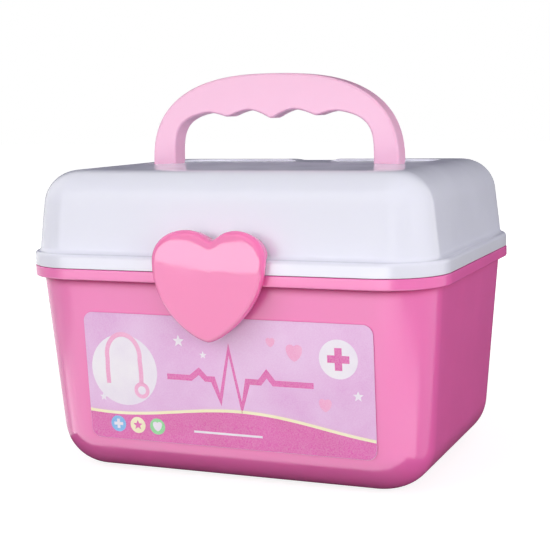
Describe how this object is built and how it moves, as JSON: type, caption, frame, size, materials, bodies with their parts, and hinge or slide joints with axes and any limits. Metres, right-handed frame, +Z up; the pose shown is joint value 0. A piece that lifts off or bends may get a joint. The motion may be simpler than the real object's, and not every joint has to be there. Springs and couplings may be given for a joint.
{
  "type": "toy doctor case",
  "caption": "Rounded pink toy case with a white domed lid on rear pin hinges, a folding carrying handle with finger scallops and a heart-shaped snap latch.",
  "frame": {"origin": "on the floor under the middle of the case", "axes": "+X to the right along the front, +Y from the front with the latch to the rear hinges, +Z up"},
  "size_m": [0.24, 0.2101, 0.2206],
  "materials": {
    "bin_pink": "glossy injection moulded",
    "lid_white": "glossy injection moulded",
    "handle_pale_pink": "satin injection moulded",
    "latch_pink": "polished injection moulded",
    "pin_steel": "bright drawn wire",
    "label_print": "printed and laminated"
  },
  "bodies": {
    "case_bin": {"bin": "bin_pink", "front_label": "label_print", "hinge_pin_left": "pin_steel", "hinge_pin_right": "pin_steel"},
    "lid": {"lid": "lid_white"},
    "handle": {"handle": "handle_pale_pink"},
    "latch": {"heart_latch": "latch_pink", "latch_pin": "pin_steel"}
  },
  "joints": [
    {"name": "lid_hinge", "type": "hinge", "parent": "case_bin", "child": "lid", "pos_m": [0, 0.1015, 0.11655], "axis": [-1, 0, 0], "range_deg": [0, 105]},
    {"name": "handle_fold", "type": "hinge", "parent": "lid", "child": "handle", "pos_m": [0, -0.001, 0.1729], "axis": [-1, 0, 0], "range_deg": [0, 90]},
    {"name": "latch_hinge", "type": "hinge", "parent": "lid", "child": "latch", "pos_m": [0.0024, -0.0998, 0.1322], "axis": [-1, 0, 0], "range_deg": [0, 60]}
  ]
}
